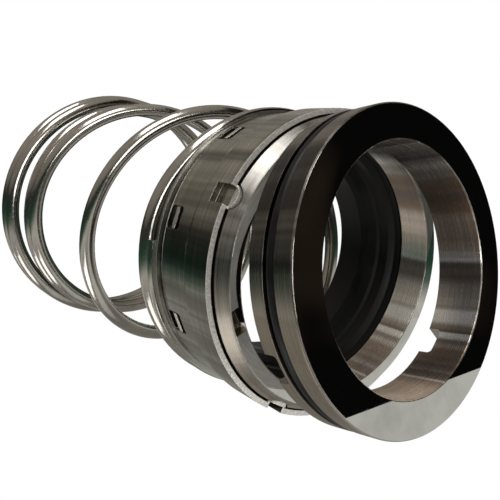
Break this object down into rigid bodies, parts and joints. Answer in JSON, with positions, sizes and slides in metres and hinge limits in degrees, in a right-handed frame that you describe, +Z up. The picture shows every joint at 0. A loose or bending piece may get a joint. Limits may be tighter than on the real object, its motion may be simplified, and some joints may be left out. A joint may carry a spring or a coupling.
{
  "type": "component mechanical seal",
  "caption": "Shaft seal: spring-loaded rotating head with lapped ring, pressed shell and rubber bellows, and its stationary seat ring.",
  "frame": {"origin": "on the shaft axis of the head, at the tail end of the bellows", "axes": "+X along the shaft axis, out of the head's sealing face; +Z up from the table on which the pair lies"},
  "size_m": [0.1782, 0.0994, 0.0995],
  "materials": {
    "ring_steel": "turned, with a mirror-lapped face",
    "pressed_stainless": "pressed sheet with fine marks round it",
    "band_stainless": "pressed sheet",
    "bellows_rubber": "moulded black rubber",
    "disc_stainless": "plain sheet",
    "spring_steel": "bright drawn wire with ground ends",
    "seat_steel": "turned, with a mirror-lapped face",
    "seal_rubber": "smooth black rubber"
  },
  "bodies": {
    "head": {"primary_ring": "ring_steel", "retainer": "pressed_stainless", "bellows": "bellows_rubber", "disc": "disc_stainless", "spring": "spring_steel"},
    "drive": {"drive_band": "band_stainless"},
    "seat": {"seat_ring": "seat_steel", "seat_o_ring": "seal_rubber"}
  },
  "joints": [
    {"name": "drive_slide", "type": "slide", "parent": "head", "child": "drive", "axis": [1, 0, 0], "range_m": [-0.0026, 0.0016], "stiffness_N_per_m": 3000},
    {"name": "seat_spin", "type": "hinge", "parent": "head", "child": "seat", "pos_m": [0.04827, 0.00287, -0.0014], "axis": [0.9848, 0.1736, 0], "continuous": true}
  ]
}
